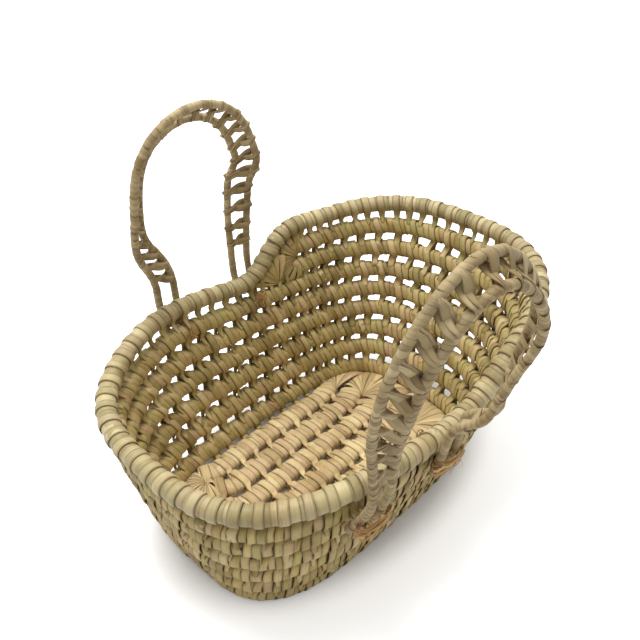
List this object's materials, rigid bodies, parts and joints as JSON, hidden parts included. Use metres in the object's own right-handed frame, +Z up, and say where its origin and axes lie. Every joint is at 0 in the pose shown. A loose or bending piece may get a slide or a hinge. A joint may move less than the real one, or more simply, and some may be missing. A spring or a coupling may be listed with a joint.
{
  "type": "moses basket",
  "caption": "Small open-work basket of coiled palm leaf with flared walls, a raised head end and two laced carrying handles that swing.",
  "frame": {"origin": "on the ground, on the flat underside of the floor's middle row of stitches", "axes": "+X towards the raised head end, +Y towards the left handle as seen from the foot end, +Z up"},
  "size_m": [0.4793, 0.4085, 0.4014],
  "materials": {
    "floor_leaf": "satin dry palm leaf, pale straw",
    "wall_leaf": "matt dry palm leaf, olive tan",
    "rim_leaf": "satin wrapped palm leaf",
    "core_bundle": "raw fibre bundle",
    "handle_leaf": "matt wrapped palm leaf",
    "fibre": "rough twisted palm fibre"
  },
  "bodies": {
    "basket": {"floor_coil_1": "floor_leaf", "floor_coil_2": "floor_leaf", "floor_coil_3": "floor_leaf", "floor_coil_4": "floor_leaf", "floor_coil_5": "floor_leaf", "floor_coil_6": "floor_leaf", "floor_edge_stitches": "floor_leaf", "floor_fan_foot_1": "floor_leaf", "floor_fan_foot_2": "floor_leaf", "floor_fan_foot_3": "floor_leaf", "floor_fan_head_1": "floor_leaf", "floor_fan_head_2": "floor_leaf", "floor_fan_head_3": "floor_leaf", "floor_fan_head_4": "floor_leaf", "floor_stitches_1": "floor_leaf", "floor_stitches_2": "floor_leaf", "floor_stitches_3": "floor_leaf", "floor_stitches_4": "floor_leaf", "floor_stitches_5": "floor_leaf", "head_coil_7": "wall_leaf", "head_coil_8": "wall_leaf", "head_stitches_6": "wall_leaf", "head_stitches_7": "wall_leaf", "head_stitches_8": "wall_leaf", "head_turn_left": "wall_leaf", "head_turn_right": "wall_leaf", "left_handle_tails": "handle_leaf", "left_lashing_foot_side": "fibre", "left_lashing_head_side": "fibre", "right_handle_tails": "handle_leaf", "right_lashing_foot_side": "fibre", "right_lashing_head_side": "fibre", "rim_core": "core_bundle", "rim_wrap": "rim_leaf", "step_fill_left": "wall_leaf", "step_fill_right": "wall_leaf", "wall_coil_1": "wall_leaf", "wall_coil_2": "wall_leaf", "wall_coil_3": "wall_leaf", "wall_coil_4": "wall_leaf", "wall_coil_5": "wall_leaf", "wall_coil_6": "wall_leaf", "wall_stitches_1": "wall_leaf", "wall_stitches_2": "wall_leaf", "wall_stitches_3": "wall_leaf", "wall_stitches_4": "wall_leaf", "wall_stitches_5": "wall_leaf", "wall_stitches_6": "wall_leaf"},
    "left_handle": {"left_handle_inner_cord": "handle_leaf", "left_handle_lacing": "handle_leaf", "left_handle_outer_cord": "handle_leaf"},
    "right_handle": {"right_handle_inner_cord": "handle_leaf", "right_handle_lacing": "handle_leaf", "right_handle_outer_cord": "handle_leaf"}
  },
  "joints": [
    {"name": "left_handle_swing", "type": "hinge", "parent": "basket", "child": "left_handle", "pos_m": [0, 0.171, 0.186], "axis": [1, 0, 0], "range_deg": [-140, 40]},
    {"name": "right_handle_swing", "type": "hinge", "parent": "basket", "child": "right_handle", "pos_m": [0, -0.171, 0.186], "axis": [-1, 0, 0], "range_deg": [-114, 56]}
  ]
}
